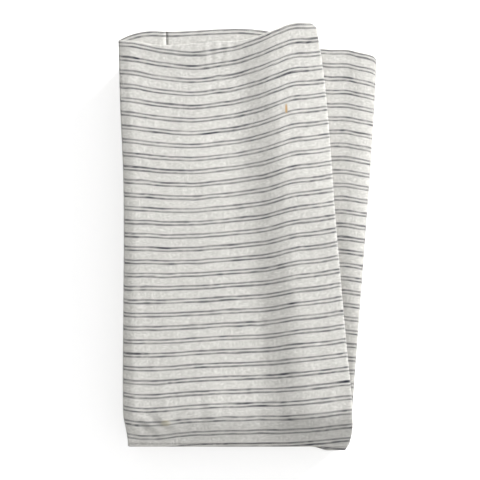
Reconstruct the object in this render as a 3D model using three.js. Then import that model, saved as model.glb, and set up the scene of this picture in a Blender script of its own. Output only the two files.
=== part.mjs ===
// Baby wrap sling: a 4.6 m x 0.70 m striped linen carrying cloth, folded for storage.
//
// The wrap's first end is turned in, the cloth's two long edges are folded in to meet near
// the middle, the strip is folded in half along its length, and it is then zigzagged into
// fifteen leaves of four layers each. The top leaf opens about its bottom fold and the
// second leaf lifts about its top fold.
//
// Millimetres. X points to the fold edges, Y to the turned-in end, Z up from the table.
// The origin is under the middle of the parcel, on the table.

import * as THREE from 'three';

// ---------------------------------------------------------------- driving dimensions
const LEAF_COUNT = 15;                 // the top leaf and fourteen lower leaves
const LEAF_THICKNESS = 1.65;           // four layers of cloth pressed together
const GAP = 0.3;                       // air between neighbouring solids
const EDGE_SAMPLES = 120;              // along each curved edge
const EDGE_GAP = 1;                    // between slanting strips that lie edge to edge
const LEAF_PITCH = LEAF_THICKNESS + GAP;

const LEAF_LEFT = -91.5;
const LEAF_RIGHT = 78.5;
const LEAF_BOTTOM = -161.0;
const LEAF_TOP = 142.6;
const EDGE_WANDER = 0.7;               // how far one fold lies inside the next

const SINGLE_PLY = 0.4;                // one layer of cloth
const HEM_THICKNESS = 0.6;             // a hem, and the two layers turned in with it
const TURNED_END_LENGTH = 24;          // cloth turned in at the wrap's first end, less its hem
const HEM_WIDTH = 10;
const RIDGE_INSET = 2;                 // from a ridge to the cloth turned in behind it
const SPINE_WIDTH = 1.5;               // the lengthways fold on the left
const MEETING_LINE = 37;               // from the spine to where the two long edges meet
const CREST_RISE = 2.3;                // how far the puffy fold at the right lifts the front
const CREST_WIDTH = 14;                // from the crest to the front panel's right edge
const VALLEY_WIDTH = 75;               // from the valley to the front panel's right edge
const CREST_DROP = 1.4;                // from the crest down to the edge itself

const LABEL_WIDTH = 30;
const LABEL_LENGTH = 45;
const LABEL_THICKNESS = 0.3;
const LABEL_LEFT = -60;

// Heights of the top leaf's layers, from the bottom up.
const BACK_PANEL_Z = (LEAF_COUNT - 1) * LEAF_PITCH;
const BACK_END_Z = BACK_PANEL_Z + SINGLE_PLY + GAP;
const BACK_FLAP_Z = BACK_END_Z + HEM_THICKNESS + GAP;
const FRONT_FLAP_Z = BACK_FLAP_Z + HEM_THICKNESS + GAP;
const FRONT_END_Z = FRONT_FLAP_Z + SINGLE_PLY + GAP;
const FRONT_PANEL_Z = FRONT_END_Z + HEM_THICKNESS + GAP;

// ---------------------------------------------------------------- outlines of the top leaf
// A smooth edge through a few points, with its parameter running evenly along X or along Y.
// The other coordinate at a given place on that axis is at(place).
function edgeAlong(axis, ...points) {
  const other = axis === 'x' ? 'y' : 'x';
  const curve = new THREE.SplineCurve(points.map(([x, y]) => new THREE.Vector2(x, y)));
  const samples = curve.getPoints(EDGE_SAMPLES);
  const start = samples[0][axis];
  const end = samples[EDGE_SAMPLES][axis];
  const at = (place) => {
    const next = samples.findIndex((point) => point[axis] >= place);
    if (next < 1) return samples[next < 0 ? EDGE_SAMPLES : 0][other];
    const before = samples[next - 1];
    const share = (place - before[axis]) / (samples[next][axis] - before[axis]);
    return THREE.MathUtils.lerp(before[other], samples[next][other], share);
  };
  const getPoint = (t) => {
    const place = THREE.MathUtils.lerp(start, end, t);
    return axis === 'x' ? new THREE.Vector2(place, at(place)) : new THREE.Vector2(at(place), place);
  };
  return { at, getPoint };
}

const spinePoints = [[-92.3, -162], [-96.4, -145], [-95.5, 0], [-100, 152.5]];
const spineEdge = edgeAlong('y', ...spinePoints);
const panelInset = SPINE_WIDTH + GAP;
const panelPoints = spinePoints.map(([x, y]) => [x + panelInset, y]);
const panelLeft = edgeAlong('y', ...panelPoints);
const [bottomStart, , , ridgeStart] = panelPoints;

const frontRight = edgeAlong('y', [78.5, -162], [80.8, -141], [68.4, 0], [53.5, 161]);
const frontRidge = edgeAlong(
  'x',
  ridgeStart, [-72, 148.5], [-45, 148.5], [-5, 151.5], [22, 158.5], [44, 165], [53.5, 161],
);
const frontBottom = edgeAlong('x', bottomStart, [78.5, -162]);
const backRight = edgeAlong('y', [80, -165], [80.8, -141], [90.4, 0], [100, 136.5]);
const backRidge = edgeAlong(
  'x',
  ridgeStart, [-83, 158.5], [17, 158.8], [40, 152], [56, 144.3], [92, 142], [100, 136.5],
);
const backBottom = edgeAlong('x', bottomStart, [52, -162], [64, -164.8], [80, -165]);

// A Coons patch: the sheet stretched between four boundary curves, with u running from
// the left edge to the right one and v from the bottom edge to the ridge.
function patch(bottom, ridge, left, right) {
  const corners = [bottom.getPoint(0), bottom.getPoint(1), ridge.getPoint(0), ridge.getPoint(1)];
  return (u, v) => {
    const across = bottom.getPoint(u).multiplyScalar(1 - v).add(ridge.getPoint(u).multiplyScalar(v));
    const along = left.getPoint(v).multiplyScalar(1 - u).add(right.getPoint(v).multiplyScalar(u));
    const low = corners[0].clone().lerp(corners[1], u);
    const high = corners[2].clone().lerp(corners[3], u);
    return across.add(along).sub(low.lerp(high, v));
  };
}

const frontPatch = patch(frontBottom, frontRidge, panelLeft, frontRight);
const backPatch = patch(backBottom, backRidge, panelLeft, backRight);

// ---------------------------------------------------------------- solids
const fabric = (color) => new THREE.MeshStandardMaterial({ color, roughness: 0.95, metalness: 0 });

const group = new THREE.Group();

function add(name, geometry, color) {
  const mesh = new THREE.Mesh(geometry, fabric(color));
  mesh.name = name;
  group.add(mesh);
  return mesh;
}

// A closed slab over a rectangular grid. place(u, v) gives a grid point in the plane and
// under(point) the height of the slab's lower face there.
function slabGeometry(place, under, thickness, columns, rows) {
  const positions = [];
  const indices = [];
  const layer = (columns + 1) * (rows + 1);
  for (let side = 0; side < 2; side++) {
    for (let row = 0; row <= rows; row++) {
      for (let column = 0; column <= columns; column++) {
        const point = place(column / columns, row / rows);
        positions.push(point.x, point.y, under(point) + side * thickness);
      }
    }
  }
  const at = (side, column, row) => side * layer + row * (columns + 1) + column;
  const quad = (a, b, c, d) => indices.push(a, b, c, a, c, d);
  for (let row = 0; row < rows; row++) {
    for (let column = 0; column < columns; column++) {
      quad(at(1, column, row), at(1, column + 1, row), at(1, column + 1, row + 1), at(1, column, row + 1));
      quad(at(0, column, row), at(0, column, row + 1), at(0, column + 1, row + 1), at(0, column + 1, row));
    }
    quad(at(0, 0, row), at(1, 0, row), at(1, 0, row + 1), at(0, 0, row + 1));
    quad(at(0, columns, row), at(0, columns, row + 1), at(1, columns, row + 1), at(1, columns, row));
  }
  for (let column = 0; column < columns; column++) {
    quad(at(0, column, 0), at(0, column + 1, 0), at(1, column + 1, 0), at(1, column, 0));
    quad(at(0, column, rows), at(1, column, rows), at(1, column + 1, rows), at(0, column + 1, rows));
  }
  const geometry = new THREE.BufferGeometry();
  geometry.setAttribute('position', new THREE.Float32BufferAttribute(positions, 3));
  geometry.setIndex(indices);
  geometry.computeVertexNormals();
  return geometry;
}

function prismGeometry(points, thickness) {
  const outline = new THREE.Shape(points.map(([x, y]) => new THREE.Vector2(x, y)));
  return new THREE.ExtrudeGeometry(outline, { depth: thickness, bevelEnabled: false });
}

const flat = (height) => () => height;

// ---------------------------------------------------------------- lower leaves
// Leaves 2 and 3 share a top fold, leaves 3 and 4 a bottom fold, and so on down, so each
// pair has the same edge there.
const wander = (fold) => EDGE_WANDER * Math.abs(Math.sin(2.4 * fold));

function lowerLeaf(number) {
  const topFold = 2 * Math.floor(number / 2);
  const bottomFold = 2 * Math.floor((number - 1) / 2) + 1;
  const left = LEAF_LEFT + wander(number);
  const right = LEAF_RIGHT - wander(number + 0.5);
  const bottom = LEAF_BOTTOM + wander(bottomFold);
  const top = LEAF_TOP - wander(topFold);
  return [left, right, bottom, top];
}

const WRAP_COLOR = 0xdcdbd6;
const HEM_COLOR = 0xd2d0ca;
const LABEL_COLOR = 0xf0efe9;

for (let number = 2; number <= LEAF_COUNT; number++) {
  const [left, right, bottomFold, top] = lowerLeaf(number);
  const isLast = number === LEAF_COUNT;
  const bottom = isLast ? bottomFold + HEM_WIDTH + GAP : bottomFold;
  const outline = [[left, bottom], [right, bottom], [right, top], [left, top]];
  const leaf = add(`leaf_${String(number).padStart(2, '0')}`, prismGeometry(outline, LEAF_THICKNESS), WRAP_COLOR);
  leaf.position.z = (LEAF_COUNT - number) * LEAF_PITCH;
  if (isLast) {
    const hem = [[left, bottomFold], [right, bottomFold], [right, bottom - GAP], [left, bottom - GAP]];
    add('last_end_hem', prismGeometry(hem, LEAF_THICKNESS), HEM_COLOR);
  }
}

// ---------------------------------------------------------------- top leaf
const smooth = (t) => THREE.MathUtils.smoothstep(t, 0, 1);

// The front panel rises from a shallow valley to a puffy crest along its right-hand fold.
function frontHeight({ x, y }) {
  const edge = THREE.MathUtils.lerp(78.5, 53.5, (y + 162) / 323);
  const fromEdge = edge - x;
  const rise = smooth((VALLEY_WIDTH - fromEdge) / (VALLEY_WIDTH - CREST_WIDTH));
  const drop = smooth((CREST_WIDTH - fromEdge) / CREST_WIDTH);
  return FRONT_PANEL_Z + CREST_RISE * rise - CREST_DROP * drop;
}

const COLUMNS = 14;
const ROWS = 16;
add('front_panel', slabGeometry(frontPatch, frontHeight, SINGLE_PLY, COLUMNS, ROWS), WRAP_COLOR);
add('front_flap', slabGeometry(frontPatch, flat(FRONT_FLAP_Z), SINGLE_PLY, COLUMNS, ROWS), WRAP_COLOR);
add('back_panel', slabGeometry(backPatch, flat(BACK_PANEL_Z), SINGLE_PLY, COLUMNS, ROWS), WRAP_COLOR);

const spinePlace = (u, v) => spineEdge.getPoint(v).add(new THREE.Vector2(u * SPINE_WIDTH, 0));
const spineHeight = FRONT_PANEL_Z + SINGLE_PLY - BACK_PANEL_Z;
add('spine_fold', slabGeometry(spinePlace, flat(BACK_PANEL_Z), spineHeight, 1, ROWS), WRAP_COLOR);

// The long edges meet on the back half, along a line at a fixed distance from the spine.
// left and right are distances from the spine, or null for the back half's own fold.
function backStrip(left, right) {
  return (u, v) => {
    const from = backPatch(0, v);
    const to = backPatch(1, v);
    const width = to.x - from.x;
    const start = left / width;
    const end = right === null ? 1 : right / width;
    return backPatch(THREE.MathUtils.lerp(start, end, u), v);
  };
}

const meeting = MEETING_LINE - panelInset;
const halfGap = EDGE_GAP / 2;
const frontHem = meeting - halfGap - HEM_WIDTH;
const backHem = meeting + halfGap + HEM_WIDTH;
const backLayers = [
  ['front_flap_return', 0, frontHem - EDGE_GAP, 2, SINGLE_PLY, WRAP_COLOR],
  ['front_long_hem', frontHem, meeting - halfGap, 2, HEM_THICKNESS, HEM_COLOR],
  ['back_long_hem', meeting + halfGap, backHem, 2, HEM_THICKNESS, HEM_COLOR],
  ['back_flap', backHem + EDGE_GAP, null, 12, SINGLE_PLY, WRAP_COLOR],
];
for (const [name, left, right, columns, thickness, color] of backLayers) {
  add(name, slabGeometry(backStrip(left, right), flat(BACK_FLAP_Z), thickness, columns, ROWS), color);
}

// A strip that follows a ridge: from a distance below it to a larger distance below it.
function ridgeStrip(ridge, left, right, from, to) {
  return (u, v) => {
    const x = THREE.MathUtils.lerp(left, right, u);
    return new THREE.Vector2(x, ridge.at(x) - THREE.MathUtils.lerp(to, from, v));
  };
}

const END_LEFT = -94;
const turnedEnds = [
  { half: 'back', ridge: backRidge, right: 96, height: BACK_END_Z },
  { half: 'front', ridge: frontRidge, right: 50, height: FRONT_END_Z },
];
const hemStart = RIDGE_INSET + TURNED_END_LENGTH + EDGE_GAP;
for (const { half, ridge, right, height } of turnedEnds) {
  const end = ridgeStrip(ridge, END_LEFT, right, RIDGE_INSET, RIDGE_INSET + TURNED_END_LENGTH);
  const hem = ridgeStrip(ridge, END_LEFT, right, hemStart, hemStart + HEM_WIDTH);
  add(`${half}_turned_end`, slabGeometry(end, flat(height), HEM_THICKNESS, COLUMNS, 1), WRAP_COLOR);
  add(`${half}_end_hem`, slabGeometry(hem, flat(height), HEM_THICKNESS, COLUMNS, 1), HEM_COLOR);
}

// The care label is sewn under the end hem and lies flat inside the back half.
const labelTop = 148 - hemStart - HEM_WIDTH;
const label = new THREE.BoxGeometry(LABEL_WIDTH, LABEL_LENGTH, LABEL_THICKNESS);
add('care_label', label, LABEL_COLOR).position.set(
  LABEL_LEFT + LABEL_WIDTH / 2,
  labelTop - LABEL_LENGTH / 2,
  BACK_END_Z + LABEL_THICKNESS / 2,
);

export default group;
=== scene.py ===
"""Looks of a folded baby wrap sling: one 4.6 m x 0.70 m striped linen cloth, zigzagged into fifteen leaves.

The whole wrap is worked out as one sheet: a cross-section of four layers (the cloth's long edges folded in,
then the strip folded in half) is carried along the strip, from the end that is turned in at the top leaf's
ridge, down the top leaf, round each fold and through every leaf below. The sheet is then cut into pieces
that ride on the CAD bodies. Lengths of cloth are in millimetres until a mesh is made, in metres. The
light and the camera are in metres.
"""

import math

import bpy
import numpy as np
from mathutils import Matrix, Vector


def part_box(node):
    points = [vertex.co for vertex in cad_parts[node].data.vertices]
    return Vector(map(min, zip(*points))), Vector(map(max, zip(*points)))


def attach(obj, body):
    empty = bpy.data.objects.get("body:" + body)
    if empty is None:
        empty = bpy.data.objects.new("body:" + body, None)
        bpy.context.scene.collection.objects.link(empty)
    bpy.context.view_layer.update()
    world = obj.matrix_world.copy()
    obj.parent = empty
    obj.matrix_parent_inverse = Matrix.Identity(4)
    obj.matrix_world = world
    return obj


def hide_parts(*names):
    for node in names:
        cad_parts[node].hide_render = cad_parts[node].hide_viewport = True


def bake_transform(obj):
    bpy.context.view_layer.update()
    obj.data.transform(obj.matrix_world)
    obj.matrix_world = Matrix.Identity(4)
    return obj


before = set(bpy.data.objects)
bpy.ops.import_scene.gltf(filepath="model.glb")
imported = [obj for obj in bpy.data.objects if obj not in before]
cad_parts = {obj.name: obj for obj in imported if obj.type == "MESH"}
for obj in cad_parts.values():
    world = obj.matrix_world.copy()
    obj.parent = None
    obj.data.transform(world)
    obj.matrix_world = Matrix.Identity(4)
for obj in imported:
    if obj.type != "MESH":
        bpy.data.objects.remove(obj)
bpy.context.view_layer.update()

MM = 0.001
LEAVES = 15
CLOTH_THICKNESS = 0.4
MEETING_LINE = 37.0  # from the spine to where the two long edges meet
MEETING_SLIT = 0.2
TURNED_END = 36.0  # cloth turned in at the first end, with its hem
HEM_WIDTH = 9.0
STRIPE_PITCH = 10.2  # from one pair of dotted lines to the next
PICKS_PER_PAIR = 12
PICK = STRIPE_PITCH / PICKS_PER_PAIR  # width of one weft yarn
WARP = 0.85  # width of one warp yarn
STRIPE_COUNT = 29  # pitches between the top leaf's first and last whole pairs
STRIPED_LENGTH = STRIPE_COUNT * STRIPE_PITCH
BOTTOM_ROW_Y = -160.3  # where the top leaf's front half ends and its bottom fold starts


def box_mm(node):
    low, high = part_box(node)
    return np.array(low) / MM, np.array(high) / MM


def smooth(t):
    t = np.clip(t, 0.0, 1.0)
    return t * t * (3 - 2 * t)


def lerp(a, b, t):
    return a + (b - a) * t


def edge(*points):
    """A smooth curve through points (place, value), held straight past its two ends."""
    place = np.array([p[0] for p in points], float)
    value = np.array([p[1] for p in points], float)
    slope = np.gradient(value, place)

    def at(where):
        where = np.asarray(where, float)
        i = np.clip(np.searchsorted(place, where) - 1, 0, len(place) - 2)
        width = place[i + 1] - place[i]
        t = (where - place[i]) / width
        c = np.clip(t, 0.0, 1.0)
        inside = (
            value[i] * (1 + 2 * c) * (1 - c) ** 2
            + value[i + 1] * c * c * (3 - 2 * c)
            + slope[i] * width * c * (1 - c) ** 2
            + slope[i + 1] * width * c * c * (c - 1)
        )
        return inside + slope[i] * width * np.minimum(t, 0) + slope[i + 1] * width * np.maximum(t - 1, 0)

    return at


def noise(x, y, cell_x, cell_y, seed):
    """Smooth value noise from -1 to 1, the same on every run."""
    size = 64
    lattice = np.random.default_rng(seed).uniform(-1, 1, (size, size))
    u = np.asarray(x) / cell_x
    v = np.asarray(y) / cell_y
    i = np.floor(u).astype(int)
    j = np.floor(v).astype(int)
    s = smooth(u - i)
    t = smooth(v - j)

    def corner(a, b):
        return lattice[(i + a) % size, (j + b) % size]

    return lerp(lerp(corner(0, 0), corner(1, 0), s), lerp(corner(0, 1), corner(1, 1), s), t)


# ------------------------------------------------------------------ edges of the top leaf
spine_x = edge(
    (-162, -92.3), (-152, -93.2), (-145, -94.6), (-138, -95.9), (-128, -96.2), (-110, -96.3),
    (-60, -95.9), (0, -95.5), (45, -95.9), (100, -98.3), (152.5, -99.8),
)
front_right_x = edge(
    (-162, 76.2), (-158, 78.6), (-153, 80.2), (-146, 80.8), (-134, 80.3), (-80, 75.4), (0, 68.4),
    (144, 56.0), (161, 53.4),
)
front_ridge_y = edge(
    (-100, 152.0), (-90, 151.2), (-72, 148.2), (-50, 148.3), (-28, 150.6), (-5, 151.4),
    (8, 154.6), (22, 159.8), (33, 164.0), (45, 164.8), (50, 163.8), (53.5, 160.5),
)
back_right_x = edge(
    (-165, 75.0), (-161, 78.2), (-155, 79.9), (-141, 80.6), (-80, 84.8), (0, 91.0), (120, 99.2),
    (136.5, 99.9),
)
back_ridge_y = edge(
    (-100, 152.0), (-92, 155.8), (-83, 158.3), (-60, 158.8), (17, 158.8), (36, 154.5), (52, 146.4),
    (62, 145.0), (78, 144.6), (86, 142.6), (95, 140.4), (99, 138.2), (100, 136.0),
)

# Where the first and last whole pairs of dotted lines run, on the front and on the back half.
FIRST_LINE_BELOW_RIDGE = 2.4
ROLLED_BACK = 5.4  # more cloth shows above the first line where the front ridge leans back
ROLLED_BACK_AT = -34.0
ROLLED_BACK_WIDTH = 27.0
RIDGE_TURNS_DOWN = 45.0  # the ridge turns down right of this, and the lines don't
LINES_RISE = 0.10  # their slope there
BACK_FIRST_LINE_BELOW_RIDGE = 1.7
front_last_y = edge(
    (-96, -152.2), (-86, -154.0), (-75, -154.6), (-44, -151.6), (2, -150.1), (40, -149.0), (81, -144.8),
)
back_last_y = edge((-96, -150.0), (0, -151.5), (64, -154.0), (81, -155.2))


def front_first_y(x):
    rolled = np.exp(-(((x - ROLLED_BACK_AT) / ROLLED_BACK_WIDTH) ** 2))
    past_ridge = np.maximum(x - RIDGE_TURNS_DOWN, 0)
    ridge = front_ridge_y(np.minimum(x, RIDGE_TURNS_DOWN)) + LINES_RISE * past_ridge
    return ridge - FIRST_LINE_BELOW_RIDGE - ROLLED_BACK * rolled


def back_first_y(x):
    return back_ridge_y(x) - BACK_FIRST_LINE_BELOW_RIDGE


def line_sag(x, y, down):
    """How much lower than evenly spaced the front's lines run; down is 0 at the first, 1 at the last."""
    middle = np.sin(np.clip(down, 0, 1) * math.pi)
    leaf = 2.4 - 6.8 * down  # low in the upper part, high in the lower part
    crest = 2.1 * np.exp(-(((x - 18) / 20) ** 2))  # where the cloth climbs to the crest
    right_edge = -0.6 * smooth((12 - (front_right_x(y) - x)) / 12)
    spine = (0.8 + 3.0 * down) * smooth((24 - (x - spine_x(y))) / 24)
    return middle * (leaf + crest + right_edge + spine)


# ------------------------------------------------------------------ heights of the four layers
BACK_OUTER, BACK_INNER, FRONT_INNER, FRONT_OUTER = range(4)
leaf_low, leaf_high = box_mm("leaf_02")
LEAF_PITCH = leaf_low[2] - box_mm("leaf_03")[0][2]
LAYER_GAP = LEAF_PITCH / 4
TOP_LEAF_LAYERS = []
for node in ("back_panel", "back_flap", "front_flap", "front_panel"):
    underside = box_mm(node)[0][2]
    TOP_LEAF_LAYERS.append(np.mean([underside, underside + CLOTH_THICKNESS]))


def leaf_middle(number):
    return LEAF_PITCH * (LEAVES - number) + (leaf_high[2] - leaf_low[2]) / 2


def pressed_height(number, level):
    """A layer's height in a leaf that is pressed flat: every second leaf is upside down."""
    up = 1 if number % 2 else -1
    return leaf_middle(number) + up * (level - 1.5) * LAYER_GAP


CREST_HEIGHT = 5.9
CREST_AT_RIDGE = 0.75  # the crest's share of its height at the ridge
VALLEY_DEPTH = 0.5
RIDGE_ROLL = 1.8
SPINE_DROP = 1.3
PLEAT_DEPTH = 0.36
PLEAT_PITCH = 8.2
PLEATS_AT = -26
STREAK_DEPTH = 0.8
CRUMPLE_DEPTH = 0.7
CRUMPLE_PITCH = 13
EDGE_FALL = 0.25
WEDGE_RISE = 1.5  # of the back half, where it shows beside the front half


def front_relief(x, y):
    """How far the front layer stands above its flat height."""
    from_edge = front_right_x(y) - x
    band = lerp(8.0, 27.0, smooth((140 - y) / 280))  # the middle of the slope up to the crest
    rise = CREST_HEIGHT * smooth((x - band + 18) / 36) * lerp(0.55, 1.0, smooth((y + 165) / 60))
    rise = rise * lerp(CREST_AT_RIDGE, 1.0, smooth((front_ridge_y(x) - y) / 120))
    fall = EDGE_FALL * smooth((8 - from_edge) / 8)
    valley = -VALLEY_DEPTH * np.exp(-(((x - band + 24) / 16) ** 2))
    below_ridge = front_ridge_y(x) - y
    ridge = RIDGE_ROLL * smooth((24 - below_ridge) / 24) * np.exp(-(((x + 22) / 48) ** 2))
    spine = -SPINE_DROP * smooth((9 - (x - spine_x(y))) / 9)
    from_pleats = x - PLEATS_AT
    pleats = PLEAT_DEPTH * np.sin(from_pleats / PLEAT_PITCH * 2 * math.pi)
    pleats = pleats * np.exp(-((from_pleats / 15) ** 2)) * smooth((30 - below_ridge) / 26)
    above_bottom = y + 162
    streaks = STREAK_DEPTH * noise(x, y, 9, 60, 3) * smooth((60 - above_bottom) / 50)
    in_crumple = np.exp(-(((x + 72) / 16) ** 2 + ((y + 148) / 12) ** 2))
    diagonal = CRUMPLE_DEPTH * np.sin((x * 0.8 + y) / CRUMPLE_PITCH * 2 * math.pi) * in_crumple
    soft = 0.5 * noise(x, y, 34, 55, 5) + 0.22 * noise(x, y, 13, 30, 7) + 0.09 * noise(x, y, 6, 9, 9)
    return rise - fall + valley + ridge + spine + pleats + streaks + diagonal + soft


def back_relief(x, y):
    """How far the back half's upper layer stands above its flat height, where it shows."""
    from_edge = back_right_x(y) - x
    wedge = smooth((x - front_right_x(y) + 4) / 16)
    rise = WEDGE_RISE * smooth((30 - from_edge) / 22) * wedge
    fall = EDGE_FALL * smooth((7 - from_edge) / 7) * wedge
    return rise - fall + 0.16 * noise(x, y, 12, 18, 11) + 0.05 * noise(x, y, 5, 7, 13)


def top_leaf_height(level, x, y):
    flat = TOP_LEAF_LAYERS[level]
    if level == FRONT_OUTER:
        flat = flat + front_relief(x, y)
    if level == FRONT_INNER:
        flat = flat + 0.9 * front_relief(x, y) * smooth((x + 20) / 40)
    if level == BACK_INNER:
        flat = flat + back_relief(x, y)
    pressed = pressed_height(1, level) + 0.1 * level
    return lerp(pressed, flat, np.sin(smooth((y + 161) / 34) * math.pi / 2))


PUFF = 0.15  # the most a height grows by, as a share
PUFF_AT_RIDGE = 0.15  # the share of it that the top leaf keeps at its ridge


def puff(x, y, top_leaf):
    """How far, from 0 to 1, the parcel has sprung up between its folds, where it is held down."""
    rounded = np.sin(np.clip((y + 161) / 30, 0, 1) * math.pi / 2)
    from_bottom = np.where(top_leaf, rounded, smooth((y + 152) / 21))
    top_leaf_from_top = PUFF_AT_RIDGE + (1 - PUFF_AT_RIDGE) * smooth((150 - y) / 160)
    from_top = np.where(top_leaf, top_leaf_from_top, smooth((132 - y) / 140))
    from_sides = smooth((x + 101) / 14) * smooth((101 - x) / 14)
    return from_bottom * from_top * lerp(0.6, 1.0, from_sides)


# ------------------------------------------------------------------ the cross-section
class Section:
    """Sample points across the cloth, from the free edge on the back half to the other free edge."""

    def __init__(self):
        self.rows = []

    def flat(self, level, count, leftward, start="fold"):
        share = np.arange(count) / (count - 1)
        share = share[::-1] if leftward else share
        for f in share:
            self.rows.append((level, level, 0.0, 0, f, 0.0, start, 0.0))

    def arc(self, side, level_from, level_to, count):
        """A fold round one side, from one layer to another."""
        for k in range(1, count):
            angle = math.pi * k / count
            turned = (1 - math.cos(angle)) / 2
            self.rows.append((level_from, level_to, turned, side, 0.0, math.sin(angle), "fold", angle))


LEFT, RIGHT = -1, 1
section = Section()
section.flat(BACK_INNER, 64, False, "meeting")
section.arc(RIGHT, BACK_INNER, BACK_OUTER, 8)
section.flat(BACK_OUTER, 40, True)
section.arc(LEFT, BACK_OUTER, FRONT_OUTER, 12)
section.flat(FRONT_OUTER, 84, False)
section.arc(RIGHT, FRONT_OUTER, FRONT_INNER, 10)
section.flat(FRONT_INNER, 30, True)
section.arc(LEFT, FRONT_INNER, BACK_INNER, 6)
section.flat(BACK_INNER, 12, False, "return")

level_a = np.array([r[0] for r in section.rows])
level_b = np.array([r[1] for r in section.rows])
turn = np.array([r[2] for r in section.rows])
side = np.array([r[3] for r in section.rows])
share = np.array([r[4] for r in section.rows])
bulge = np.array([r[5] for r in section.rows])
kind = np.array([r[6] for r in section.rows])
angle = np.array([r[7] for r in section.rows])
is_arc = side != 0
front_a = level_a >= FRONT_INNER
front_b = level_b >= FRONT_INNER
front_share = lerp(front_a.astype(float), front_b.astype(float), turn)
COUNT = len(side)

# The direction of the cloth's inner face, across and up.
inner_up = np.where(np.isin(level_a, (FRONT_OUTER, BACK_INNER)), -1.0, 1.0)
inner_up = np.where(kind == "return", -1.0, inner_up)
inner_across = np.zeros(COUNT)
right_arc = is_arc & (side == RIGHT)
outer_spine = is_arc & (side == LEFT) & (level_a == BACK_OUTER)
inner_spine = is_arc & (side == LEFT) & (level_a == FRONT_INNER)
inner_across[right_arc] = -np.sin(angle[right_arc])
inner_up[right_arc] = -np.cos(angle[right_arc])
inner_across[outer_spine] = np.sin(angle[outer_spine])
inner_up[outer_spine] = np.cos(angle[outer_spine])
inner_across[inner_spine] = -np.sin(angle[inner_spine])
inner_up[inner_spine] = np.cos(angle[inner_spine])

# How far each fold's roundness reaches in from the edge.
FOLD_REACH = {FRONT_OUTER: 0.3, FRONT_INNER: 0.3, BACK_INNER: 0.4, BACK_OUTER: 0.4}
SPINE_REACH = {BACK_OUTER: 1.8, FRONT_OUTER: 1.8, FRONT_INNER: 0.5, BACK_INNER: 0.5}
SPINE_INNER_INSET = 1.3  # the inner fold lies inside the outer one
fold_reach = np.array([FOLD_REACH[level] for level in level_a])
spine_reach = np.array([SPINE_REACH[level] for level in level_a])
spine_inset = np.where(np.isin(level_a, (FRONT_INNER, BACK_INNER)), SPINE_INNER_INSET, 0.0)


def across(left, right):
    """x of every sample, for a spine at left and fold edges at right (one value per sample)."""
    start = left + spine_inset + spine_reach
    start = np.where(kind == "meeting", left + MEETING_LINE + MEETING_SLIT / 2, start)
    stop = np.where(kind == "return", left + MEETING_LINE - MEETING_SLIT / 2, right - fold_reach)
    on_flat = lerp(start, stop, share)
    on_left = left + spine_inset + spine_reach * (1 - bulge)
    on_right = right - fold_reach * (1 - bulge)
    return np.where(is_arc, np.where(side == LEFT, on_left, on_right), on_flat)


def warp_place(x, left, right):
    """How far across the cloth each sample lies, in millimetres from the spine along the front."""
    depth = 4.0
    front = x - left
    front_inner = 2 * right - x - left + depth
    back_outer = left - x - depth
    back_inner = x + left - 2 * right - 2 * depth
    returned = 2 * (right - left) + (x - left) + 2 * depth
    by_level = [back_outer, back_inner, front_inner, front]
    place_a = np.choose(level_a, by_level)
    place_b = np.choose(level_b, by_level)
    place = lerp(place_a, place_b, turn)
    return np.where(kind == "return", returned, place)


def back_bottom_y(x):
    return -161.6 - 3.0 * smooth((x - 50) / 12)


def top_leaf_row(v):
    """Points and cloth coordinates of the top leaf, v = 0 at the bottom fold and 1 at the ridge."""
    y = np.full(COUNT, lerp(BOTTOM_ROW_Y, 150.0, v))
    for _ in range(6):
        left = spine_x(y)
        right = np.where(front_a, front_right_x(y), back_right_x(y))
        x = across(left, right)
        front_y = lerp(BOTTOM_ROW_Y, front_ridge_y(x), v)
        back_y = lerp(back_bottom_y(x), back_ridge_y(x), v)
        y = lerp(back_y, front_y, front_share)
    height = [top_leaf_height(level, x, y) for level in range(4)]
    z = lerp(np.choose(level_a, height), np.choose(level_b, height), turn)
    front_s = STRIPED_LENGTH * (front_first_y(x) - y) / (front_first_y(x) - front_last_y(x))
    front_s = front_s - line_sag(x, y, front_s / STRIPED_LENGTH)
    back_s = STRIPED_LENGTH * (back_first_y(x) - y) / (back_first_y(x) - back_last_y(x))
    s = lerp(back_s, front_s, front_share)
    return np.stack([x, y, z], 1), np.stack([warp_place(x, left, right), s], 1)


END_REACH = 1.5 * LAYER_GAP + LAYER_GAP / 2  # how far a fold stands out past its leaf's last row


def lower_leaf_row(number, v, start_s, start_warp):
    """A pressed leaf; v = 0 at the end nearer the wrap's first end."""
    low, high = box_mm(f"leaf_{number:02d}")
    if number == LEAVES:
        low[1] = box_mm("last_end_hem")[0][1]
    bottom = low[1] + END_REACH
    top = high[1] - END_REACH
    y0, y1 = (bottom, top) if number % 2 == 0 else (top, bottom)
    x = across(np.full(COUNT, low[0]), np.full(COUNT, high[0]))
    y = np.full(COUNT, lerp(y0, y1, v))
    height = [pressed_height(number, level) for level in range(4)]
    z = lerp(np.array(height)[level_a], np.array(height)[level_b], turn)
    s = start_s + abs(y1 - y0) * v
    return np.stack([x, y, z], 1), np.stack([start_warp, s], 1)


def fold_rows(before, after, count):
    """Rows round a fold, from one leaf's last row to the next leaf's first one."""
    (p, c), (q, d) = before, after
    outward = np.sign(p[:, 1].mean())
    reach = np.abs(p[:, 2] - q[:, 2]) / 2
    rows = []
    for k in range(1, count):
        a = math.pi * k / count
        middle = (p + q) / 2
        half = (p - q) / 2
        row = middle + half * math.cos(a)
        row[:, 1] += outward * reach * math.sin(a)
        rows.append((row, lerp(c, d, k / count)))
    return rows


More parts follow.
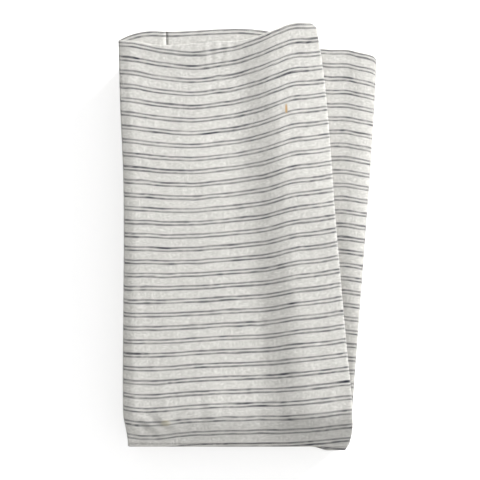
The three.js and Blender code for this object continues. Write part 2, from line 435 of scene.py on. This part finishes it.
# ------------------------------------------------------------------ the whole sheet
rows = []
cuts = {}
RIDGE_STEPS = 8
TOP_ROWS = 150
FINE_ROWS = 40  # in leaves 2 and 3
LOWER_ROWS = 9
FINE_FOLD_STEPS = 12  # in the folds that lead into leaves 2 and 3
LOWER_FOLD_STEPS = 8
FOLD_STRIP_LEAF = 8.0 / 303  # the share of a leaf that its fold's strip keeps
RIDGE_RADIUS = 0.6
TURN_GAP = 0.55
TURNED_END_ROWS = [TURNED_END, 30, 26, 20, 12, 6, 3]  # millimetres of cloth past the ridge
TURN_ROWS = len(TURNED_END_ROWS) + RIDGE_STEPS  # rows before the top leaf's own

inner = np.stack([inner_across, np.zeros(COUNT), inner_up], 1)
ridge_y = top_leaf_row(1.0)[0][:, 1].mean()
LEAF_LENGTH = ridge_y - BOTTOM_ROW_Y


def ridge_row(beyond):
    """A row of the turned-in end, that many millimetres of cloth past the ridge."""
    half_turn = math.pi * RIDGE_RADIUS
    a = min(beyond / half_turn, 1) * math.pi
    inset = -RIDGE_RADIUS * math.sin(a) + max(0.0, beyond - half_turn)
    points, cloth = top_leaf_row(1 - max(0.0, beyond - half_turn) / LEAF_LENGTH)
    ridge = top_leaf_row(1.0)[1]
    points = points + inner * TURN_GAP * (1 - math.cos(a)) / 2
    if beyond < half_turn:
        points[:, 1] -= inset
    return points, np.stack([ridge[:, 0], ridge[:, 1] - beyond], 1)


ridge_steps = np.linspace(math.pi * RIDGE_RADIUS, 0, RIDGE_STEPS + 1)[:-1]
for beyond in TURNED_END_ROWS + list(ridge_steps):
    rows.append(ridge_row(beyond))
for v in np.linspace(1, 0, TOP_ROWS):
    rows.append(top_leaf_row(v))
cuts["top_end"] = len(rows) - 1
for number in range(2, LEAVES + 1):
    last_points, last_cloth = rows[-1]
    trial, _ = lower_leaf_row(number, 0.0, last_cloth[:, 1], last_cloth[:, 0])
    arc = math.pi * np.abs(last_points[:, 2] - trial[:, 2]) / 2
    start_s = last_cloth[:, 1] + arc
    count = FINE_ROWS if number <= 3 else LOWER_ROWS
    fold_steps = FINE_FOLD_STEPS if number <= 3 else LOWER_FOLD_STEPS
    first = lower_leaf_row(number, 0.0, start_s, last_cloth[:, 0])
    rows += fold_rows((last_points, last_cloth), first, fold_steps)
    if number == 2:
        cuts["second_start"] = len(rows) + 1  # each fold's strip keeps a little of the leaf under it
    if number == 3:
        cuts["third_start"] = len(rows) + 1
    between = np.linspace(FOLD_STRIP_LEAF, 1 - FOLD_STRIP_LEAF, count - 2)
    for v in np.concatenate([[0.0], between, [1.0]]):
        rows.append(lower_leaf_row(number, v, start_s, last_cloth[:, 0]))
    if number == 2:
        cuts["second_end"] = len(rows) - 1

points = np.stack([r[0] for r in rows])
cloth = np.stack([r[1] for r in rows])
in_top_leaf = (np.arange(len(rows)) <= cuts["top_end"])[:, None]
points[:, :, 2] *= 1 + PUFF * puff(points[:, :, 0], points[:, :, 1], in_top_leaf)
along = np.gradient(points, axis=0)
over = np.gradient(points, axis=1)
normal = np.cross(along, over)
normal /= np.maximum(np.linalg.norm(normal, axis=2, keepdims=True), 1e-9)


# ------------------------------------------------------------------ pieces
def strip(name, row_range, column_range, material, thickness, lift=0.0):
    """Part of the sheet as a piece of cloth, moved lift millimetres towards the cloth's inner face."""
    part = (slice(row_range[0], row_range[1] + 1), slice(column_range[0], column_range[1] + 1))
    p = points[part] + INWARD * lift * normal[part]
    c = cloth[part]
    high, wide = p.shape[:2]
    index = np.arange(high * wide).reshape(high, wide)
    corners = [index[:-1, :-1], index[1:, :-1], index[1:, 1:], index[:-1, 1:]]
    faces = np.stack(corners, 2).reshape(-1, 4)
    mesh = bpy.data.meshes.new(name)
    mesh.from_pydata((p.reshape(-1, 3) * MM).tolist(), [], faces.tolist())
    layer = mesh.uv_layers.new(name="cloth")
    loops = np.empty(len(mesh.loops), int)
    mesh.loops.foreach_get("vertex_index", loops)
    layer.data.foreach_set("uv", (c.reshape(-1, 2)[loops] * MM).ravel())
    mesh.polygons.foreach_set("use_smooth", np.ones(len(mesh.polygons), bool))
    mesh.materials.append(material)
    piece = bpy.data.objects.new(name, mesh)
    bpy.context.scene.collection.objects.link(piece)
    solid = piece.modifiers.new("cloth", "SOLIDIFY")
    solid.thickness = thickness * MM
    solid.offset = 0.0
    solid.use_even_offset = False
    return piece


# 1 if the mesh normals point to the cloth's inner face, tested at one sample of the top leaf.
TEST_ROW = 100
TEST_COLUMN = 5
INWARD = 1.0 if normal[TEST_ROW, TEST_COLUMN, 2] * inner_up[TEST_COLUMN] > 0 else -1.0


# ------------------------------------------------------------------ materials
class Nodes:
    """Short names for the shader nodes used here."""

    def __init__(self, name):
        self.material = bpy.data.materials.new(name)
        self.material.use_nodes = True
        self.tree = self.material.node_tree
        self.shader = self.tree.nodes["Principled BSDF"]

    def put(self, socket, value):
        if isinstance(value, bpy.types.NodeSocket):
            self.tree.links.new(value, socket)
        else:
            socket.default_value = value

    def math(self, operation, *values, clamp=False):
        node = self.tree.nodes.new("ShaderNodeMath")
        node.operation = operation
        node.use_clamp = clamp
        for socket, value in zip(node.inputs, values):
            self.put(socket, value)
        return node.outputs[0]

    def mix(self, share, a, b):
        node = self.tree.nodes.new("ShaderNodeMix")
        node.data_type = "RGBA"
        self.put(node.inputs["Factor"], share)
        self.put(node.inputs["A"], a)
        self.put(node.inputs["B"], b)
        return node.outputs["Result"]

    def place(self, x, y, z=0.0):
        node = self.tree.nodes.new("ShaderNodeCombineXYZ")
        for socket, value in zip(node.inputs, (x, y, z)):
            self.put(socket, value)
        return node.outputs[0]

    def noise(self, where, scale, detail=1.0):
        node = self.tree.nodes.new("ShaderNodeTexNoise")
        self.put(node.inputs["Vector"], where)
        node.inputs["Scale"].default_value = scale
        node.inputs["Detail"].default_value = detail
        return node.outputs["Fac"]

    def ramp(self, value, low, high, to_low=0.0, to_high=1.0):
        node = self.tree.nodes.new("ShaderNodeMapRange")
        node.interpolation_type = "SMOOTHSTEP"
        for socket, number in zip(node.inputs, (value, low, high, to_low, to_high)):
            self.put(socket, number)
        return node.outputs[0]

    def bump(self, height, distance, strength):
        node = self.tree.nodes.new("ShaderNodeBump")
        node.inputs["Strength"].default_value = strength
        node.inputs["Distance"].default_value = distance
        self.put(node.inputs["Height"], height)
        self.put(self.shader.inputs["Normal"], node.outputs[0])


UNDYED = (0.755, 0.743, 0.710, 1)
# the darker yarn tone, also used for the painted shade in the gaps between yarns
UNDYED_DARK_AND_GAP_SHADE = (0.285, 0.278, 0.258, 1)
NAVY = (0.006, 0.009, 0.022, 1)
FLECK = (0.42, 0.25, 0.08, 1)


def woven_cloth(name, ground=UNDYED):
    """A plain weave. Its UV layer is in metres: u runs across the cloth, v along it."""
    n = Nodes(name)
    uv = n.tree.nodes.new("ShaderNodeUVMap")
    uv.uv_map = "cloth"
    split = n.tree.nodes.new("ShaderNodeSeparateXYZ")
    n.tree.links.new(uv.outputs[0], split.inputs[0])
    u = n.math("DIVIDE", split.outputs["X"], WARP * MM)
    half_pair = 2 * PICK * MM
    v = n.math("DIVIDE", n.math("ADD", split.outputs["Y"], half_pair), PICK * MM)
    wander = n.noise(n.place(n.math("MULTIPLY", u, 0.06), n.math("MULTIPLY", v, 0.02)), 1.0)
    v = n.math("ADD", v, n.math("MULTIPLY", n.math("SUBTRACT", wander, 0.5), 0.9))
    warp = n.math("FLOOR", u)
    pick = n.math("FLOOR", v)
    in_warp = n.math("FRACT", u)
    in_pick = n.math("FRACT", v)
    weft_over = n.math("LESS_THAN", n.math("FLOORED_MODULO", n.math("ADD", warp, pick), 2.0), 0.5)

    weft_tone = n.noise(n.place(n.math("MULTIPLY", u, 0.11), n.math("MULTIPLY", pick, 7.31)), 1.0, 3.0)
    warp_tone = n.noise(n.place(n.math("MULTIPLY", warp, 5.17), n.math("MULTIPLY", v, 0.11), 9.0), 1.0, 3.0)
    tone = n.math("MULTIPLY", n.math("ADD", weft_tone, warp_tone), 0.5)
    dark_yarn = n.ramp(tone, 0.36, 0.64, 0.26, 0.0)
    grain = n.tree.nodes.new("ShaderNodeTexWhiteNoise")
    n.put(grain.inputs["Vector"], n.place(warp, pick))
    colour = n.mix(dark_yarn, ground, UNDYED_DARK_AND_GAP_SHADE)
    colour = n.mix(n.math("MULTIPLY", grain.outputs["Value"], 0.46), colour, UNDYED_DARK_AND_GAP_SHADE)
    coarse = n.tree.nodes.new("ShaderNodeTexWhiteNoise")
    pair_of_warps = n.math("FLOOR", n.math("MULTIPLY", n.math("ADD", warp, pick), 0.5))
    pair_of_picks = n.math("FLOOR", n.math("MULTIPLY", n.math("SUBTRACT", warp, pick), 0.5))
    n.put(coarse.inputs["Vector"], n.place(pair_of_warps, pair_of_picks, 2.0))
    colour = n.mix(n.math("MULTIPLY", coarse.outputs["Value"], 0.08), colour, UNDYED_DARK_AND_GAP_SHADE)
    # painted shade: the colour darkens towards the gaps between yarns, where shade falls in the weave
    across_yarn = n.math("ABSOLUTE", n.math("SUBTRACT", in_pick, 0.5))
    across_warp = n.math("ABSOLUTE", n.math("SUBTRACT", in_warp, 0.5))
    yarn_gap_shade = n.math("MAXIMUM", across_yarn, across_warp)
    colour = n.mix(n.ramp(yarn_gap_shade, 0.38, 0.50, 0.0, 0.55), colour, UNDYED_DARK_AND_GAP_SHADE)

    order = n.math("FLOORED_MODULO", v, float(PICKS_PER_PAIR))
    to_first = n.math("ABSOLUTE", n.math("SUBTRACT", order, 0.5))
    to_second = n.math("ABSOLUTE", n.math("SUBTRACT", order, 3.5))
    to_next = n.math("ABSOLUTE", n.math("SUBTRACT", order, PICKS_PER_PAIR + 0.5))
    to_line = n.math("MINIMUM", n.math("MINIMUM", to_first, to_second), to_next)
    phase = n.math("FRACT", n.math("ADD", n.math("MULTIPLY", n.math("ADD", u, pick), 0.5), 0.25))
    to_dot = n.math("ABSOLUTE", n.math("SUBTRACT", phase, 0.5))
    line = n.math("FLOOR", n.math("DIVIDE", v, 2.0))
    slub = n.noise(n.place(n.math("MULTIPLY", u, 0.042), n.math("MULTIPLY", line, 3.77), 4.0), 1.0, 3.0)
    fade = n.noise(n.place(n.math("MULTIPLY", u, 0.030), n.math("MULTIPLY", line, 9.13), 21.0), 1.0, 2.0)
    half_width = n.ramp(slub, 0.36, 0.72, 0.78, 1.18)
    edge_soft = 0.14
    covered = n.ramp(to_line, n.math("SUBTRACT", half_width, edge_soft), half_width, 1.0, 0.0)
    dot = n.ramp(to_dot, 0.25, 0.31, 1.0, 0.0)
    shown = n.math("MAXIMUM", dot, n.ramp(slub, 0.56, 0.70, 0.0, 0.95))
    along = n.math("FLOOR", n.math("ADD", n.math("MULTIPLY", n.math("ADD", u, pick), 0.5), 0.25))
    each = n.tree.nodes.new("ShaderNodeTexWhiteNoise")
    n.put(each.inputs["Vector"], n.place(n.math("FLOOR", n.math("MULTIPLY", along, 0.5)), line, 3.0))
    single = n.tree.nodes.new("ShaderNodeTexWhiteNoise")
    n.put(single.inputs["Vector"], n.place(along, line, 5.0))
    uneven = n.math("MULTIPLY", n.math("ADD", each.outputs["Value"], single.outputs["Value"]), 0.5)
    shown = n.math("MAXIMUM", shown, n.ramp(uneven, 0.50, 0.90, 0.0, 0.65))
    strength = n.math("MULTIPLY", n.ramp(fade, 0.30, 0.50, 0.76, 1.0), n.ramp(uneven, 0.10, 0.55, 0.66, 1.0))
    dark = n.math("MULTIPLY", covered, n.math("MULTIPLY", shown, strength))
    colour = n.mix(dark, colour, NAVY)
    for middle, size, tint, weight in SPOTS:
        du = n.math("DIVIDE", n.math("SUBTRACT", split.outputs["X"], middle[0] * MM), size[0] * MM)
        dv = n.math("DIVIDE", n.math("SUBTRACT", split.outputs["Y"], middle[1] * MM), size[1] * MM)
        far = n.math("ADD", n.math("MULTIPLY", du, du), n.math("MULTIPLY", dv, dv))
        colour = n.mix(n.ramp(far, 0.2, 1.0, weight, 0.0), colour, tint)
    n.put(n.shader.inputs["Base Color"], colour)
    n.shader.inputs["Roughness"].default_value = 0.92
    n.shader.inputs["Specular IOR Level"].default_value = 0.18
    n.shader.inputs["Sheen Weight"].default_value = 0.12
    n.shader.inputs["Sheen Roughness"].default_value = 0.6

    over_weft = n.math("SINE", n.math("MULTIPLY", in_warp, math.pi))
    over_warp = n.math("SINE", n.math("MULTIPLY", in_pick, math.pi))
    round_yarn = n.math("MULTIPLY", over_weft, over_warp)
    lift = n.math("MULTIPLY", n.math("ADD", n.math("MULTIPLY", weft_over, 0.25), 0.75), round_yarn)
    height = n.math("ADD", lift, n.math("MULTIPLY", tone, 0.8))
    n.bump(height, 0.00022, 0.55)
    return n.material


# Each spot's place on the cloth and its half size (in mm), its colour and its strength.
TAN_FLECK = ((128.0, 57.2), (1.2, 4.4), FLECK, 0.85)
YELLOW_SPOT = ((32.0, 285.5), (4.5, 3.0), (0.50, 0.46, 0.33, 1), 0.5)
SPOTS = (TAN_FLECK, YELLOW_SPOT)
HEM_UNDYED = (0.58, 0.565, 0.535, 1)
linen = woven_cloth("linen cloth")
hem_linen = woven_cloth("linen hem", HEM_UNDYED)

# ------------------------------------------------------------------ cloth pieces
LAST_COLUMN = COUNT - 1
LAST_ROW = len(rows) - 1


def whole_width(name, first_row, last_row):
    return strip(name, (first_row, last_row), (0, LAST_COLUMN), linen, CLOTH_THICKNESS)


top_leaf = whole_width("top_leaf_cloth", 0, cuts["top_end"])
bottom_fold = whole_width("bottom_fold_cloth", cuts["top_end"], cuts["second_start"])
second_leaf = whole_width("second_leaf_cloth", cuts["second_start"], cuts["second_end"])
top_fold = whole_width("top_fold_cloth", cuts["second_end"], cuts["third_start"])
stack = whole_width("stack_cloth", cuts["third_start"], LAST_ROW)

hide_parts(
    "front_panel", "front_flap", "front_flap_return", "back_flap", "back_panel", "spine_fold",
    "front_turned_end", "back_turned_end",
)
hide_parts("leaf_02")
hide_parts(*[f"leaf_{number:02d}" for number in range(3, LEAVES + 1)])
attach(top_leaf, "top_leaf")
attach(second_leaf, "second_leaf")
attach(stack, "stack")

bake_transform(bottom_fold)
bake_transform(top_fold)

# ------------------------------------------------------------------ hems
HEM_LIFT = 0.40
END_HEM_LIFT = 0.36
HEM_THICKNESS = 0.3


def columns_near(free_column, reach):
    """The columns within reach of one of the cloth's long edges, measured on the top leaf."""
    row = cloth[cuts["top_end"] // 2, :, 0]
    near = np.abs(row - row[free_column]) <= reach
    wanted = np.flatnonzero(near)
    wanted = wanted[wanted < COUNT // 2] if free_column == 0 else wanted[wanted > COUNT // 2]
    return int(wanted.min()), int(wanted.max())


hem_rows = (TURN_ROWS + 3, cuts["top_end"] - 2)
for name, free_column in (("back_long_hem", 0), ("front_long_hem", LAST_COLUMN)):
    columns = columns_near(free_column, HEM_WIDTH)
    hem = strip(name + "_cloth", hem_rows, columns, hem_linen, HEM_THICKNESS, HEM_LIFT)
    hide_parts(name)
    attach(hem, "top_leaf")

flat_back = np.flatnonzero(~is_arc & (level_a == BACK_OUTER))
flat_front = np.flatnonzero(~is_arc & (level_a == FRONT_OUTER))
for name, columns in (("back_end_hem", flat_back), ("front_end_hem", flat_front)):
    ends = (int(columns.min()), int(columns.max()))
    hem = strip(name + "_cloth", (0, 2), ends, hem_linen, HEM_THICKNESS, END_HEM_LIFT)
    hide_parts(name)
    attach(hem, "top_leaf")
last_rows = (LAST_ROW - 1, LAST_ROW)
end_hem = strip("last_end_hem_cloth", last_rows, (0, LAST_COLUMN), hem_linen, HEM_THICKNESS)
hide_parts("last_end_hem")
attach(end_hem, "stack")


# ------------------------------------------------------------------ care label
LABEL_THICKNESS = 0.25
RIB_SCALE = 900
SATIN = (0.74, 0.73, 0.71, 1)
SATIN_DARK = (0.66, 0.65, 0.63, 1)


def label_piece():
    low, high = box_mm("care_label")
    count = 12
    xs = np.linspace(low[0], high[0], count)
    ys = np.linspace(low[1], high[1], count)
    grid = []
    for y in ys:
        for x in xs:
            ripple = 0.06 * math.sin(x / 7) * math.cos(y / 9)
            height = (low[2] + 0.15 + ripple) * (1 + PUFF * float(puff(x, y, True)))
            grid.append((x * MM, y * MM, height * MM))
    quads = [
        (r * count + c, r * count + c + 1, (r + 1) * count + c + 1, (r + 1) * count + c)
        for r in range(count - 1) for c in range(count - 1)
    ]
    mesh = bpy.data.meshes.new("care_label_cloth")
    mesh.from_pydata(grid, [], quads)
    label = bpy.data.objects.new("care_label_cloth", mesh)
    bpy.context.scene.collection.objects.link(label)
    solid = label.modifiers.new("ribbon", "SOLIDIFY")
    solid.thickness = LABEL_THICKNESS * MM
    solid.offset = 0.0
    n = Nodes("care label satin")
    where = n.tree.nodes.new("ShaderNodeTexCoord").outputs["Object"]
    wave = n.tree.nodes.new("ShaderNodeTexWave")
    n.put(wave.inputs["Vector"], where)
    wave.inputs["Scale"].default_value = RIB_SCALE
    n.put(n.shader.inputs["Base Color"], n.mix(wave.outputs["Fac"], SATIN, SATIN_DARK))
    n.shader.inputs["Roughness"].default_value = 0.45
    n.bump(wave.outputs["Fac"], 0.00005, 0.4)
    mesh.materials.append(n.material)
    return label


label = label_piece()
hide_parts("care_label")
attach(label, "top_leaf")

# ------------------------------------------------------------------ floor, light and camera
bpy.ops.mesh.primitive_plane_add(size=6, location=(0, 0, -0.0002))
floor = bpy.context.object
floor.name = "floor"
floor_paint = Nodes("floor paint")
floor_paint.shader.inputs["Base Color"].default_value = (0.93, 0.93, 0.93, 1)
floor_paint.shader.inputs["Roughness"].default_value = 0.9
floor_paint.shader.inputs["Specular IOR Level"].default_value = 0.1
floor_paint.shader.inputs["Emission Color"].default_value = (1, 1, 1, 1)
floor_paint.shader.inputs["Emission Strength"].default_value = 0.42
floor.data.materials.append(floor_paint.material)


def soft_light(name, azimuth, elevation, distance, size, watts):
    lamp = bpy.data.lights.new(name, "AREA")
    lamp.shape = "DISK"
    lamp.size = size
    lamp.energy = watts
    holder = bpy.data.objects.new(name, lamp)
    a = math.radians(azimuth)
    e = math.radians(elevation)
    direction = (math.cos(a) * math.cos(e), math.sin(a) * math.cos(e), math.sin(e))
    holder.location = [d * distance for d in direction]
    holder.rotation_euler = (math.radians(90 - elevation), 0, math.radians(azimuth + 90))
    bpy.context.scene.collection.objects.link(holder)


soft_light("key", azimuth=42, elevation=23, distance=2.4, size=0.7, watts=101)
world = bpy.data.worlds.new("studio")
bpy.context.scene.world = world
world.use_nodes = True
background = world.node_tree.nodes["Background"]
background.inputs["Color"].default_value = (1, 1, 1, 1)
background.inputs["Strength"].default_value = 0.66

FRAME_WIDTH = 371.0  # what the picture spans at the height of the cloth
CLOTH_TOP = 31.0
LENS = 135.0
SENSOR = 36.0
lens = bpy.data.cameras.new("camera")
lens.lens = LENS
lens.sensor_width = SENSOR
lens.clip_end = 10
camera = bpy.data.objects.new("camera", lens)
camera.location = (-0.0058, -0.0019, (CLOTH_TOP + FRAME_WIDTH * LENS / SENSOR) * MM)
bpy.context.scene.collection.objects.link(camera)
bpy.context.scene.camera = camera
bpy.context.scene.view_settings.view_transform = "Standard"
